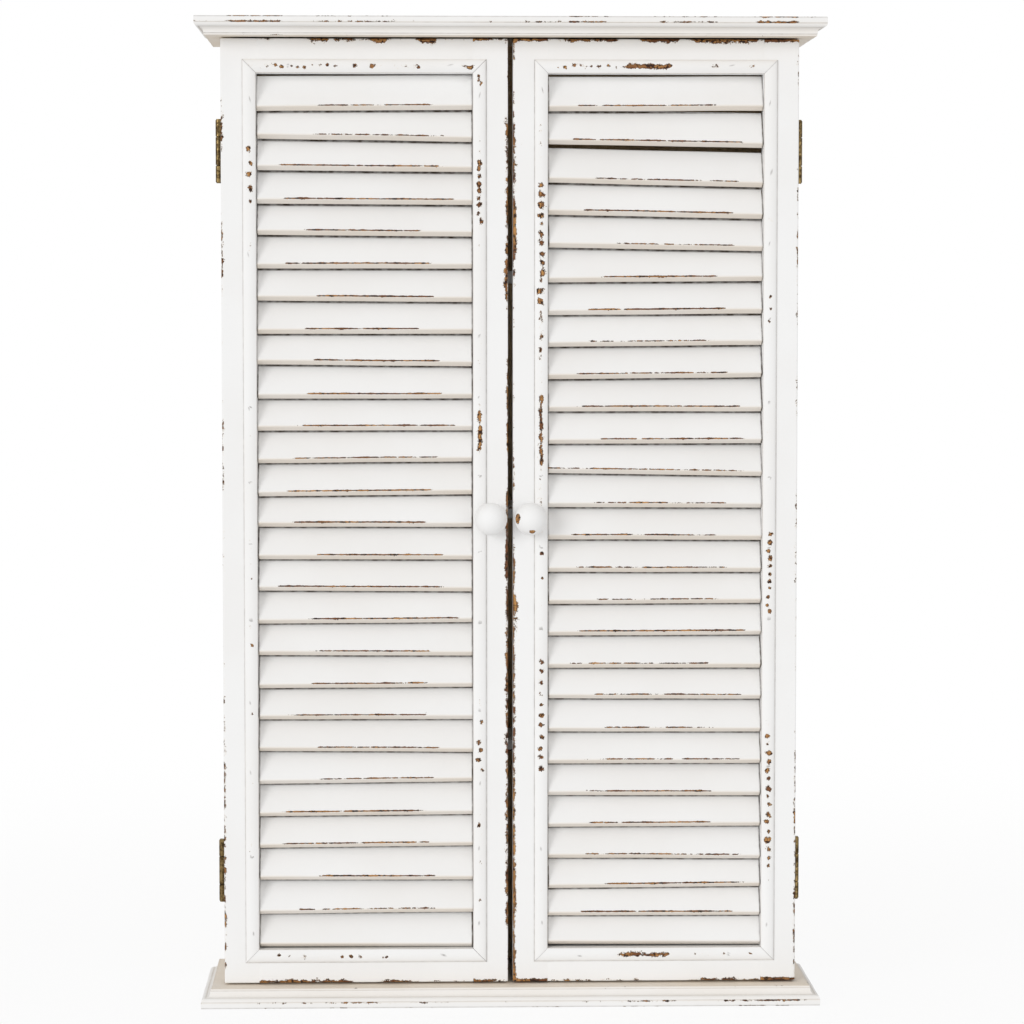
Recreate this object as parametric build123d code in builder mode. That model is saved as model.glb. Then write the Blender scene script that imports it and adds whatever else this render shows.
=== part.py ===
from build123d import *
from math import cos, radians, sin, sqrt
import os

# Hanging wall cabinet with two louvred doors, in millimetres.
# +Z is up and the front faces -Y. The wall is the plane Y = 0, and the origin lies on it,
# midway between the entry holes of the two keyhole hangers.

os.makedirs("parts", exist_ok=True)

# ---------------------------------------------------------------- driving dimensions

# Heights above the underside of the base board
total_height = 790
board_thick = 15  # cornice and base board
hanging_height = 738  # entry holes of the keyhole hangers
knob_height = 392

# Depths from the wall to the front
cornice_depth = 140
base_depth = 136.5
case_depth = 91  # to the front edges of the side panels
door_gap_behind = 2  # room for the two hinge leaves
door_thick = 20

# Widths
cornice_width = 500
base_width = 497
case_width = 461
doors_apart = 4  # gap between the meeting stiles
panel_thick = 12

# Gaps over and under the doors
gap_over_door = 1
gap_under_door = 1.5

# Door frame
stile_width = 28
rail_height = 27.4
tenon_length = 15
tenon_thick = 8
tenon_shoulder = 5
bead_width = 11
bead_crest = 2.5
bead_lip = 0.8

# Louvre slats
slat_count = 27
slat_pitch = 25.87
slat_thick = 8
slat_width = 28.5
slat_tilt = 28.5  # from the vertical, with the lower edge forward
slat_rounding = 1.2
slat_back_rounding = 3.5  # the upper rear arris
slat_housing = 4  # how far a slat's end goes into the stile
slat_bottom_gap = 0.5
slat_shift = {"left": 3.4, "right": -7}  # of all but the lowest and highest slats, from even spacing
slats_easing_in = 3  # slats at the bottom over which the shift grows
slats_easing_out = 2  # slats at the top over which it goes back

# Butt hinges
hinge_length = 50
hinge_from_door_end = 63.5
knuckle_radius = 2.5
pin_radius = 1.25
pin_play = 0.05
leaf_thick = 0.95
leaf_width = 11.2
leaf_from_barrel = 0.3
leaf_overlap = 0.5  # how far a knuckle's tongue runs into its leaf
barrel_wall_inside = 0.4  # where a tongue starts, outside the pin's bore
outer_knuckle = 13.5
knuckle_gap = 0.2
pin_head_radius = 1.9
pin_head_thick = 0.6
hinge_screw_rise = 15  # from the hinge's middle

# Inside the case
back_thick = 3
back_recess = 1
back_rebate = 6
rail_section_height = 60
rail_section_thick = 16
shelf_count = 3
shelf_thick = 10
shelf_front = 86
shelf_rounding = 1.5
shelf_end_play = 0.5
shelf_pin_radius = 2.5
shelf_pin_length = 16
shelf_pin_inset = 14
dowel_radius = 3
dowel_length = 30
dowel_in_cornice = 10
dowel_in_panel = 9  # for the dowels of the hanging rail
rail_dowel_inset = 15  # from the rail's edges
case_dowel_depths = (-25, -70)
nail_count = 7  # down each side
nail_pitch = 110
lowest_nail = 30
base_screw_recess = 0.2

# Hangers
hanger_spacing = 340
hanger_height = 48
hanger_width = 18
hanger_thick = 1.5
keyhole_entry_radius = 4.5
keyhole_slot_width = 4.4
keyhole_slot_rise = 10
hanger_corner = 4
hanger_screw_inset = 6
hanger_lift = 2  # the plates' middle above the keyholes' middle
pocket_width = 11
pocket_depth = 9

# Magnetic catches
catch_offset = 36  # from the middle of the cabinet
catch_size = (46, 14, 12)
catch_setback = 0.2  # the housing's mouth behind the case's front edges
catch_corner = 2
catch_screw_offset = 18
catch_magnet = (26, 10, 5)
magnet_setback = 1
pole_thick = 1.5
pole_gap = 0.15  # from the pole plates to the closed door's strike plate
strike_size = (38, 1.2, 9)
strike_corner = 2

# Knobs
knob_radius = 13
knob_ball_depth = 13.8  # from the door's face to the ball's middle
knob_foot_radius = 5.5

wood_clearance = 0.1  # around tenons, slats and fasteners in their holes
through = 1  # how much longer than its stock a bore is, so that it opens at both faces
pan_head_rounding = 0.6  # of a pan head's height

# ---------------------------------------------------------------- derived positions

base_bottom = -hanging_height
base_top = base_bottom + board_thick
cornice_top = base_bottom + total_height
cornice_bottom = cornice_top - board_thick
case_front = -case_depth
door_back = case_front - door_gap_behind
door_face = door_back - door_thick
door_bottom = base_top + gap_under_door
door_top = cornice_bottom - gap_over_door
case_side = case_width / 2
inner_side = case_side - panel_thick
door_edge = doors_apart / 2
opening_bottom = door_bottom + rail_height
opening_top = door_top - rail_height
opening_outer = case_side - stile_width
opening_inner = door_edge + stile_width
stile_middle = door_edge + stile_width / 2
hinge_x = case_side + knuckle_radius + 0.1
hinge_y = case_front - door_gap_behind / 2
hinge_heights = {
    "upper": door_top - hinge_from_door_end - hinge_length / 2,
    "lower": door_bottom + hinge_from_door_end + hinge_length / 2,
}
rail_bottom = cornice_bottom - rail_section_height
back_face = -back_recess - back_thick  # the back panel's inner face
compartment = (cornice_bottom - base_top) / (shelf_count + 1)
shelf_heights = [base_top + compartment * (n + 1) for n in range(shelf_count)]
shelf_names = ["lower_shelf", "middle_shelf", "upper_shelf"]
knob_z = base_bottom + knob_height
sides = {"left": -1, "right": 1}


# ---------------------------------------------------------------- helpers


def save(part, name):
    """Labels a finished piece and writes its STEP file."""
    part.label = name
    export_step(part, f"parts/{name}.step")


def block(x_range, y_range, z_range, mode=Mode.ADD):
    """A box between two values on each axis, in the part that is being built."""
    ranges = (x_range, y_range, z_range)
    with Locations(tuple(sum(r) / 2 for r in ranges)):
        Box(*[abs(r[1] - r[0]) for r in ranges], mode=mode)


def countersunk(head_radius, shank_radius, length, gap=0.0):
    """A screw along -Z with its flat head at Z = 0. With a gap it is the hole for that screw."""
    head_height = head_radius - shank_radius
    with BuildPart() as shape:
        with BuildSketch(Plane.XZ):
            with BuildLine():
                Polyline(
                    (0, 0),
                    (head_radius + gap, 0),
                    (shank_radius + gap, -head_height),
                    (shank_radius + gap, shank_radius - length - gap),
                    (0, -length - gap),
                    close=True,
                )
            make_face()
        revolve(axis=Axis.Z)
    return shape.part


def pan_headed(head_radius, head_height, shank_radius, length, gap=0.0):
    """A screw along -Z whose head stands above Z = 0. With a gap it is the hole for its shank."""
    with BuildPart() as shape:
        with Locations((0, 0, -(length + gap) / 2)):
            Cylinder(shank_radius + gap, length + gap)
        if gap == 0:
            with Locations((0, 0, head_height / 2)):
                Cylinder(head_radius, head_height)
            rim = shape.edges().filter_by(GeomType.CIRCLE).sort_by(Axis.Z)[-1]
            fillet(rim, head_height * pan_head_rounding)
    return shape.part


def copies(shape, places):
    """One part that holds a copy of the shape at each place."""
    with BuildPart() as group:
        with Locations(*places):
            add(shape)
    return group.part


def facing(x, y, z, outward):
    """A plane at a point whose Z axis points along the outward direction."""
    return Plane(origin=(x, y, z), z_dir=outward)


def quarter(start, end, centre):
    """A quarter of a circle from start to end about a centre."""
    radius = abs(start[0] - centre[0]) + abs(start[1] - centre[1])
    along = [(s + e) / 2 - c for s, e, c in zip(start, end, centre)]
    reach = radius / sqrt(along[0] ** 2 + along[1] ** 2)
    middle = tuple(c + a * reach for c, a in zip(centre, along))
    ThreePointArc(start, middle, end)


# ---------------------------------------------------------------- moulded boards


def moulded_side(outer, inward, start, rise):
    """One edge of a moulded board's section: fillet, ovolo, cove and a small fillet.

    outer is the outermost position, inward is +1 or -1 towards the board's middle,
    start is the level of the wide face and rise is +1 or -1 towards the narrow face.
    Returns the point where the edge ends, on the narrow face.
    """
    fillet_height, ovolo_radius, step, cove_radius, cove_straight = 5, 3.3, 0.35, 3.5, 1.4

    def at(inset, height):
        return (outer + inward * inset, start + rise * height)

    ovolo_top = fillet_height + ovolo_radius
    cove_inset = ovolo_radius + step
    cove_top = ovolo_top + cove_radius
    cove_end = cove_inset + cove_radius
    small_fillet = cove_top + cove_straight
    Line(at(0, 0), at(0, fillet_height))
    quarter(at(0, fillet_height), at(ovolo_radius, ovolo_top), at(ovolo_radius, fillet_height))
    Line(at(ovolo_radius, ovolo_top), at(cove_inset, ovolo_top))
    quarter(at(cove_inset, ovolo_top), at(cove_end, cove_top), at(cove_inset, cove_top))
    Line(at(cove_end, cove_top), at(cove_end, small_fillet))
    Line(at(cove_end, small_fillet), at(cove_end + step, small_fillet))
    end = at(cove_end + step, board_thick)
    Line(at(cove_end + step, small_fillet), end)
    return end


def moulded_board(width, depth, wide_level, rise):
    """A board with the same moulding on its front and both ends, mitred at the corners."""
    half = width / 2
    with BuildPart() as board:
        with BuildSketch(Plane.XZ):
            with BuildLine():
                right = moulded_side(half, -1, wide_level, rise)
                left = moulded_side(-half, 1, wide_level, rise)
                Line(left, right)
                Line((-half, wide_level), (half, wide_level))
            make_face()
        extrude(amount=depth)
        with BuildSketch(Plane.YZ.offset(-half)):
            with BuildLine():
                front = moulded_side(-depth, 1, wide_level, rise)
                Line(front, (0, front[1]))
                Line((0, front[1]), (0, wide_level))
                Line((0, wide_level), (-depth, wide_level))
            make_face()
        extrude(amount=width, mode=Mode.INTERSECT)
    return board.part


# ---------------------------------------------------------------- fasteners of the case

panel_middle = case_side - panel_thick / 2
rail_dowel_heights = (rail_bottom + rail_dowel_inset, cornice_bottom - rail_dowel_inset)
dowels_in_cornice = [
    (side * panel_middle, y, cornice_bottom + dowel_in_cornice - dowel_length / 2)
    for side in (-1, 1)
    for y in case_dowel_depths
]
dowels_in_rail = [
    (side * (inner_side + dowel_in_panel - dowel_length / 2), -rail_section_thick / 2, z)
    for side in (-1, 1)
    for z in rail_dowel_heights
]


def dowel_shapes(gap):
    """All the dowels of the case, or with a gap the holes for them."""
    radius = dowel_radius + gap
    length = dowel_length + 2 * gap
    with BuildPart() as group:
        with Locations(*dowels_in_cornice):
            Cylinder(radius, length)
        with Locations(*dowels_in_rail):
            Cylinder(radius, length, rotation=(0, 90, 0))
    return group.part


base_screw_places = [
    facing(side * panel_middle, y, base_bottom + base_screw_recess, (0, 0, -1))
    for side in (-1, 1)
    for y in case_dowel_depths
]
base_screw = dict(head_radius=4, shank_radius=2, length=45)

nail_heights = [base_top + lowest_nail + nail_pitch * n for n in range(nail_count)]
nail_places = [
    facing(side * (inner_side + back_rebate / 2), -back_recess, z, (0, 1, 0))
    for side in (-1, 1)
    for z in nail_heights
]
nail = dict(head_radius=1.5, head_height=0.8, shank_radius=0.6, length=14)

hanger_screw_rise = hanger_height / 2 - hanger_screw_inset
hanger_middle = keyhole_slot_rise / 2 + hanger_lift
hanger_screw_places = [
    facing(side * hanger_spacing / 2, 0, hanger_middle + up * hanger_screw_rise, (0, 1, 0))
    for side in (-1, 1)
    for up in (-1, 1)
]
hanger_screw = dict(head_radius=3, shank_radius=1.5, length=14)

shelf_pin_places = [
    (side * inner_side, y, z - shelf_thick / 2 - shelf_pin_radius)
    for side in (-1, 1)
    for y in (back_face - shelf_pin_inset, -shelf_front + shelf_pin_inset)
    for z in shelf_heights
]


def shelf_pin_shapes(gap):
    """All the pins under the shelves, half in the side panels, or with a gap the holes for them."""
    with BuildPart() as group:
        with Locations(*shelf_pin_places):
            Cylinder(shelf_pin_radius + gap, shelf_pin_length + 2 * gap, rotation=(0, 90, 0))
    return group.part


catch_mouth = case_front + catch_setback
catch_y = catch_mouth + catch_size[1] / 2
catch_z = cornice_bottom - catch_size[2] / 2
catch_screw_places = [
    facing(x + across * catch_screw_offset, catch_y, cornice_bottom - catch_size[2], (0, 0, -1))
    for x in (-catch_offset, catch_offset)
    for across in (-1, 1)
]
catch_screw = dict(head_radius=2.8, head_height=1.6, shank_radius=1.5, length=22)

case_leaf_face = case_front - leaf_thick
door_leaf_face = door_back + leaf_thick


def hinge_screw_places(side, leaf_face, outward):
    """The screws of one side's two hinges, on the leaves that face that way."""
    return [
        facing(side * panel_middle, leaf_face, z + rise, (0, outward, 0))
        for z in hinge_heights.values()
        for rise in (-hinge_screw_rise, hinge_screw_rise)
    ]


hinge_screw = dict(head_radius=2.6, shank_radius=1.3, length=12)
case_hinge_screws = [p for side in sides.values() for p in hinge_screw_places(side, case_leaf_face, -1)]

save(dowel_shapes(0), "dowels")
save(copies(countersunk(**base_screw), base_screw_places), "base_screws")
save(copies(pan_headed(**nail), nail_places), "back_panel_nails")
save(copies(countersunk(**hanger_screw), hanger_screw_places), "hanger_screws")
save(shelf_pin_shapes(0), "shelf_pins")
save(copies(pan_headed(**catch_screw), catch_screw_places), "catch_screws")
save(copies(countersunk(**hinge_screw), case_hinge_screws), "hinge_case_screws")

dowel_holes = dowel_shapes(wood_clearance)
shelf_pin_holes = shelf_pin_shapes(wood_clearance)
base_screw_hole = countersunk(**base_screw, gap=wood_clearance)
nail_hole = pan_headed(**nail, gap=wood_clearance)
hanger_screw_hole = countersunk(**hanger_screw, gap=wood_clearance)
catch_screw_hole = pan_headed(**catch_screw, gap=wood_clearance)
hinge_screw_hole = countersunk(**hinge_screw, gap=wood_clearance)

# ---------------------------------------------------------------- case boards

with BuildPart() as cornice:
    add(moulded_board(cornice_width, cornice_depth, cornice_top, -1))
    add(dowel_holes, mode=Mode.SUBTRACT)
    with Locations(*catch_screw_places):
        add(catch_screw_hole, mode=Mode.SUBTRACT)
save(cornice.part, "cornice")

with BuildPart() as base_board:
    add(moulded_board(base_width, base_depth, base_bottom, 1))
    with Locations(*base_screw_places):
        add(base_screw_hole, mode=Mode.SUBTRACT)
    # The heads sit a little below the underside, so the mouths of their holes are opened
    with Locations(*base_screw_places):
        Cylinder(base_screw["head_radius"] + wood_clearance, through, mode=Mode.SUBTRACT)
save(base_board.part, "base_board")

for name, side in sides.items():
    with BuildPart() as side_panel:
        block((side * inner_side, side * case_side), (case_front, 0), (base_top, cornice_bottom))
        block(
            (side * inner_side, side * (inner_side + back_rebate)),
            (back_face, 0),
            (base_top, rail_bottom),
            mode=Mode.SUBTRACT,
        )
        add(dowel_holes, mode=Mode.SUBTRACT)
        add(shelf_pin_holes, mode=Mode.SUBTRACT)
        with Locations(*base_screw_places):
            add(base_screw_hole, mode=Mode.SUBTRACT)
        with Locations(*nail_places):
            add(nail_hole, mode=Mode.SUBTRACT)
        with Locations(*case_hinge_screws):
            add(hinge_screw_hole, mode=Mode.SUBTRACT)
    save(side_panel.part, f"{name}_side_panel")

with BuildPart() as back_panel:
    reach = inner_side + back_rebate - wood_clearance
    block((-reach, reach), (back_face, -back_recess), (base_top, rail_bottom))
    with Locations(*nail_places):
        add(nail_hole, mode=Mode.SUBTRACT)
save(back_panel.part, "back_panel")

for name, height in zip(shelf_names, shelf_heights):
    with BuildPart() as shelf:
        reach = inner_side - shelf_end_play
        block(
            (-reach, reach),
            (-shelf_front, back_face),
            (height - shelf_thick / 2, height + shelf_thick / 2),
        )
        fillet(shelf.edges().filter_by(Axis.X).group_by(Axis.Y)[0], shelf_rounding)
    save(shelf.part, name)

# ---------------------------------------------------------------- hanging rail and keyhole hangers


def beside_each_other(height):
    """The places of something at this height on both hangers, on the wall plane."""
    return Locations((-hanger_spacing / 2, height), (hanger_spacing / 2, height))


def hanger_outline(clearance):
    """The plates' outline, drawn on the wall plane."""
    with beside_each_other(hanger_middle):
        RectangleRounded(hanger_width + 2 * clearance, hanger_height + 2 * clearance, hanger_corner)


with BuildPart() as hanger_plates:
    with BuildSketch(Plane.XZ):
        hanger_outline(0)
    extrude(amount=hanger_thick)
    # Keyholes: a round entry hole with a slot that rises from it
    with BuildSketch(Plane.XZ):
        with beside_each_other(0):
            Circle(keyhole_entry_radius)
        with beside_each_other(keyhole_slot_rise / 2):
            Rectangle(keyhole_slot_width, keyhole_slot_rise)
        with beside_each_other(keyhole_slot_rise):
            Circle(keyhole_slot_width / 2)
    extrude(amount=hanger_thick, mode=Mode.SUBTRACT)
    with Locations(*hanger_screw_places):
        add(hanger_screw_hole, mode=Mode.SUBTRACT)
save(hanger_plates.part, "hanger_plates")

with BuildPart() as hanging_rail:
    block((-inner_side, inner_side), (-rail_section_thick, 0), (rail_bottom, cornice_bottom))
    with BuildSketch(Plane.XZ):
        hanger_outline(wood_clearance)
    extrude(amount=hanger_thick, mode=Mode.SUBTRACT)
    # Pockets behind the plates, where the heads of the wall screws sit
    with BuildSketch(Plane.XZ):
        with beside_each_other(keyhole_slot_rise / 2):
            SlotOverall(keyhole_slot_rise + pocket_width, pocket_width, rotation=90)
    extrude(amount=hanger_thick + pocket_depth, mode=Mode.SUBTRACT)
    add(dowel_holes, mode=Mode.SUBTRACT)
    with Locations(*hanger_screw_places):
        add(hanger_screw_hole, mode=Mode.SUBTRACT)
save(hanging_rail.part, "hanging_rail")

# ---------------------------------------------------------------- magnetic catches

magnet_room = (
    catch_magnet[0] + 2 * wood_clearance,
    catch_magnet[1] + magnet_setback,
    catch_magnet[2] + 2 * pole_thick + 2 * wood_clearance,
)

for name, side in sides.items():
    with BuildPart() as catch_housing:
        with Locations((side * catch_offset, catch_y, catch_z)):
            Box(*catch_size)
        fillet(catch_housing.edges().filter_by(Axis.Z), catch_corner)
        with Locations((side * catch_offset, catch_mouth + magnet_room[1] / 2, catch_z)):
            Box(*magnet_room, mode=Mode.SUBTRACT)
        with Locations(*catch_screw_places):
            add(catch_screw_hole, mode=Mode.SUBTRACT)
    save(catch_housing.part, f"{name}_catch_housing")

magnet_y = catch_mouth + magnet_setback + catch_magnet[1] / 2
with BuildPart() as catch_magnets:
    with Locations(*[(x, magnet_y, catch_z) for x in (-catch_offset, catch_offset)]):
        Box(*catch_magnet)
save(catch_magnets.part, "catch_magnets")

# The pole plates stand a little proud of the housing, so that the strike plates meet them first
pole_front = door_back + strike_size[1] + pole_gap
pole_back = catch_mouth + catch_magnet[1]
pole_height = (catch_magnet[2] + pole_thick) / 2
with BuildPart() as catch_pole_plates:
    for x in (-catch_offset, catch_offset):
        for z in (catch_z - pole_height, catch_z + pole_height):
            block(
                (x - catch_magnet[0] / 2, x + catch_magnet[0] / 2),
                (pole_front, pole_back),
                (z - pole_thick / 2, z + pole_thick / 2),
            )
save(catch_pole_plates.part, "catch_pole_plates")

# ---------------------------------------------------------------- hinges

hinge_end = hinge_length / 2
knuckle_end = hinge_end - outer_knuckle
case_knuckles = [(-hinge_end, -knuckle_end), (knuckle_end, hinge_end)]
door_knuckles = [(knuckle_gap - knuckle_end, knuckle_end - knuckle_gap)]
tongue_start = pin_radius + pin_play + barrel_wall_inside
plate_start = knuckle_radius + leaf_from_barrel


def hinge_leaf(side, middle, knuckles, plate_range, screw_places):
    """A leaf: a flat plate, and for each knuckle a barrel and the tongue that joins it to the plate."""

    def inward(distance):
        return side * (hinge_x - distance)

    with BuildPart() as leaf:
        block(
            (inward(plate_start), inward(plate_start + leaf_width)),
            plate_range,
            (middle - hinge_end, middle + hinge_end),
        )
        for low, high in knuckles:
            block(
                (inward(tongue_start), inward(plate_start + leaf_overlap)),
                plate_range,
                (middle + low, middle + high),
            )
            with Locations((side * hinge_x, hinge_y, middle + (low + high) / 2)):
                Cylinder(knuckle_radius, high - low)
        with Locations((side * hinge_x, hinge_y, middle)):
            Cylinder(pin_radius + pin_play, hinge_length + through, mode=Mode.SUBTRACT)
        with Locations(*screw_places):
            add(hinge_screw_hole, mode=Mode.SUBTRACT)
    return leaf.part


for name, side in sides.items():
    for level, middle in hinge_heights.items():
        case_leaf = hinge_leaf(side, middle, case_knuckles, (case_leaf_face, case_front), case_hinge_screws)
        save(case_leaf, f"{name}_{level}_hinge_case_leaf")
        door_screws = hinge_screw_places(side, door_leaf_face, 1)
        door_leaf = hinge_leaf(side, middle, door_knuckles, (door_back, door_leaf_face), door_screws)
        save(door_leaf, f"{name}_{level}_hinge_door_leaf")

with BuildPart() as hinge_pins:
    for side in sides.values():
        for middle in hinge_heights.values():
            with Locations((side * hinge_x, hinge_y, middle)):
                Cylinder(pin_radius, hinge_length)
            head_rise = (hinge_length + pin_head_thick) / 2
            for z in (middle - head_rise, middle + head_rise):
                with Locations((side * hinge_x, hinge_y, z)):
                    Cylinder(pin_head_radius, pin_head_thick)
save(hinge_pins.part, "hinge_pins")

# ---------------------------------------------------------------- louvre slats

tilt = radians(slat_tilt)
first_slat_tip = opening_bottom + slat_bottom_gap + slat_thick * sin(tilt)  # the lower front arris


def slat_shape(x_start, x_end, gap=0.0):
    """The lowest slat between two values of X. With a gap it is the housing for that slat."""
    up = (sin(tilt), cos(tilt))
    back = (cos(tilt), -sin(tilt))

    def corner(along, across):
        return (
            door_face + along * up[0] + across * back[0],
            first_slat_tip + along * up[1] + across * back[1],
        )

    with BuildPart() as slat:
        with BuildSketch(Plane.YZ.offset(x_start)) as section:
            with BuildLine():
                Polyline(
                    corner(-gap, -gap),
                    corner(slat_width + gap, -gap),
                    corner(slat_width + gap, slat_thick + gap),
                    corner(-gap, slat_thick + gap),
                    close=True,
                )
            make_face()
            fillet(section.vertices().sort_by(Axis.X)[:-1], slat_rounding)
            fillet(section.vertices().sort_by(Axis.X)[-1], slat_back_rounding)
        extrude(amount=x_end - x_start)
    return slat.part


def slat_levels(name):
    """Where the slats of a door are, from the lowest one. The doors' slats are spaced a little unevenly."""
    levels = []
    for n in range(slat_count):
        share = min(1, n / slats_easing_in, (slat_count - 1 - n) / slats_easing_out)
        levels.append((0, 0, n * slat_pitch + share * slat_shift[name]))
    return levels


# ---------------------------------------------------------------- bead around a door's opening


def bead_strip(start, end, inward):
    """A bead strip with mitred ends along the opening's edge from start to end.

    Points are (x, z) on the door's face, and inward is the unit step towards the opening.
    """
    outward = (-inward[0], -inward[1])
    run = (end[0] - start[0], end[1] - start[1])
    length = abs(run[0]) + abs(run[1])
    along = (run[0] / length, run[1] / length)

    def corner(origin, sign):
        return tuple(
            o + bead_width * (out + sign * step) for o, out, step in zip(origin, outward, along)
        )

    plane = Plane(
        origin=(start[0], door_face, start[1]),
        x_dir=(outward[0], 0, outward[1]),
        z_dir=(along[0], 0, along[1]),
    )
    front = 1 if plane.y_dir.Y < 0 else -1  # which way the plane's Y runs out of the door
    lip = front * bead_lip
    crest = (bead_width / 2, front * bead_crest)
    with BuildPart() as strip:
        with BuildSketch(plane.offset(-bead_width)):
            with BuildLine():
                Line((0, 0), (0, lip))
                ThreePointArc((0, lip), crest, (bead_width, lip))
                Line((bead_width, lip), (bead_width, 0))
                Line((bead_width, 0), (0, 0))
            make_face()
        extrude(amount=length + 2 * bead_width)
        with BuildSketch(Plane.XZ.offset(-door_face - bead_crest)):
            with BuildLine():
                Polyline(start, end, corner(end, 1), corner(start, -1), close=True)
            make_face()
        extrude(amount=3 * bead_crest, mode=Mode.INTERSECT)
    return strip.part


# ---------------------------------------------------------------- doors

knob_screw = dict(head_radius=3.8, head_height=2, shank_radius=2, length=30)
strike_screw = dict(head_radius=2.6, shank_radius=1.3, length=12)
knob_screw_hole = pan_headed(**knob_screw, gap=wood_clearance)
strike_screw_hole = countersunk(**strike_screw, gap=wood_clearance)
door_middle_y = (door_back + door_face) / 2

for name, side in sides.items():
    outer_edge = side * case_side
    inner_edge = side * door_edge
    outer_jamb = side * opening_outer
    inner_jamb = side * opening_inner
    hinge_screws = hinge_screw_places(side, door_leaf_face, 1)
    knob_screw_place = facing(side * stile_middle, door_back, knob_z, (0, 1, 0))
    strike_face = door_back + strike_size[1]
    strike_screw_place = facing(side * catch_offset, strike_face, catch_z, (0, 1, 0))
    left_jamb, right_jamb = sorted((outer_jamb, inner_jamb))

    # Slats
    slat = slat_shape(left_jamb - slat_housing, right_jamb + slat_housing)
    save(copies(slat, slat_levels(name)), f"{name}_slats")

    # Stiles, with mortises for the rails and slots for the slats
    housing_reach = slat_housing + wood_clearance
    slat_slots = slat_shape(left_jamb - housing_reach, right_jamb + housing_reach, gap=wood_clearance)
    rails = {"top": (opening_top, door_top), "bottom": (door_bottom, opening_bottom)}
    mortise_thick = tenon_thick / 2 + wood_clearance
    for stile_name, x_range, jamb in (
        ("hinge_stile", (outer_edge, outer_jamb), outer_jamb),
        ("meeting_stile", (inner_edge, inner_jamb), inner_jamb),
    ):
        into_stile = 1 if x_range[0] > jamb else -1
        with BuildPart() as stile:
            block(x_range, (door_face, door_back), (door_bottom, door_top))
            for low, high in rails.values():
                block(
                    (jamb, jamb + into_stile * (tenon_length + wood_clearance)),
                    (door_middle_y - mortise_thick, door_middle_y + mortise_thick),
                    (low + tenon_shoulder - wood_clearance, high - tenon_shoulder + wood_clearance),
                    mode=Mode.SUBTRACT,
                )
            with Locations(*slat_levels(name)):
                add(slat_slots, mode=Mode.SUBTRACT)
            if stile_name == "hinge_stile":
                with Locations(*hinge_screws):
                    add(hinge_screw_hole, mode=Mode.SUBTRACT)
            else:
                with Locations(knob_screw_place):
                    add(knob_screw_hole, mode=Mode.SUBTRACT)
        save(stile.part, f"{name}_{stile_name}")

    # Rails, with a tenon at each end
    for rail_name, (low, high) in rails.items():
        with BuildPart() as rail:
            block((left_jamb, right_jamb), (door_face, door_back), (low, high))
            block(
                (left_jamb - tenon_length, right_jamb + tenon_length),
                (door_middle_y - tenon_thick / 2, door_middle_y + tenon_thick / 2),
                (low + tenon_shoulder, high - tenon_shoulder),
            )
            if rail_name == "top":
                with Locations(strike_screw_place):
                    add(strike_screw_hole, mode=Mode.SUBTRACT)
        save(rail.part, f"{name}_{rail_name}_rail")

    # Bead strips: the one beside the knob is cut round the knob's foot
    corners = {
        "top": ((left_jamb, opening_top), (right_jamb, opening_top), (0, -1)),
        "bottom": ((left_jamb, opening_bottom), (right_jamb, opening_bottom), (0, 1)),
        "hinge_side": ((outer_jamb, opening_bottom), (outer_jamb, opening_top), (-side, 0)),
        "meeting_side": ((inner_jamb, opening_bottom), (inner_jamb, opening_top), (side, 0)),
    }
    for strip_name, (start, end, inward) in corners.items():
        with BuildPart() as strip:
            add(bead_strip(start, end, inward))
            if strip_name == "meeting_side":
                with Locations((side * stile_middle, door_face, knob_z)):
                    Cylinder(
                        knob_foot_radius + wood_clearance,
                        4 * bead_crest,
                        rotation=(90, 0, 0),
                        mode=Mode.SUBTRACT,
                    )
        save(strip.part, f"{name}_bead_{strip_name}")

    # Knob: a ball on a short round foot
    foot_depth = knob_ball_depth - sqrt(knob_radius**2 - knob_foot_radius**2)
    knob_seat = (side * stile_middle, door_face, knob_z)
    with BuildPart() as knob:
        with BuildSketch(Plane(origin=knob_seat, x_dir=(1, 0, 0), z_dir=(0, 0, 1))):
            with BuildLine():
                Line((0, 0), (knob_foot_radius, 0))
                Line((knob_foot_radius, 0), (knob_foot_radius, -foot_depth))
                ThreePointArc(
                    (knob_foot_radius, -foot_depth),
                    (knob_radius, -knob_ball_depth),
                    (0, -knob_ball_depth - knob_radius),
                )
                Line((0, -knob_ball_depth - knob_radius), (0, 0))
            make_face()
        revolve(axis=Axis(knob_seat, (0, 1, 0)))
        with Locations(knob_screw_place):
            add(knob_screw_hole, mode=Mode.SUBTRACT)
    save(knob.part, f"{name}_knob")

    # Hardware on the door's back
    save(copies(pan_headed(**knob_screw), [knob_screw_place]), f"{name}_knob_screw")
    save(copies(countersunk(**strike_screw), [strike_screw_place]), f"{name}_strike_screw")
    save(copies(countersunk(**hinge_screw), hinge_screws), f"{name}_hinge_door_screws")
    with BuildPart() as strike_plate:
        with Locations((side * catch_offset, door_back + strike_size[1] / 2, catch_z)):
            Box(*strike_size)
        fillet(strike_plate.edges().filter_by(Axis.Y), strike_corner)
        with Locations(strike_screw_place):
            add(strike_screw_hole, mode=Mode.SUBTRACT)
    save(strike_plate.part, f"{name}_strike_plate")
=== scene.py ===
import random
from math import cos, pi, radians, sin, sqrt

import bmesh
import bpy
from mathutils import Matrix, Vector, noise


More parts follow.
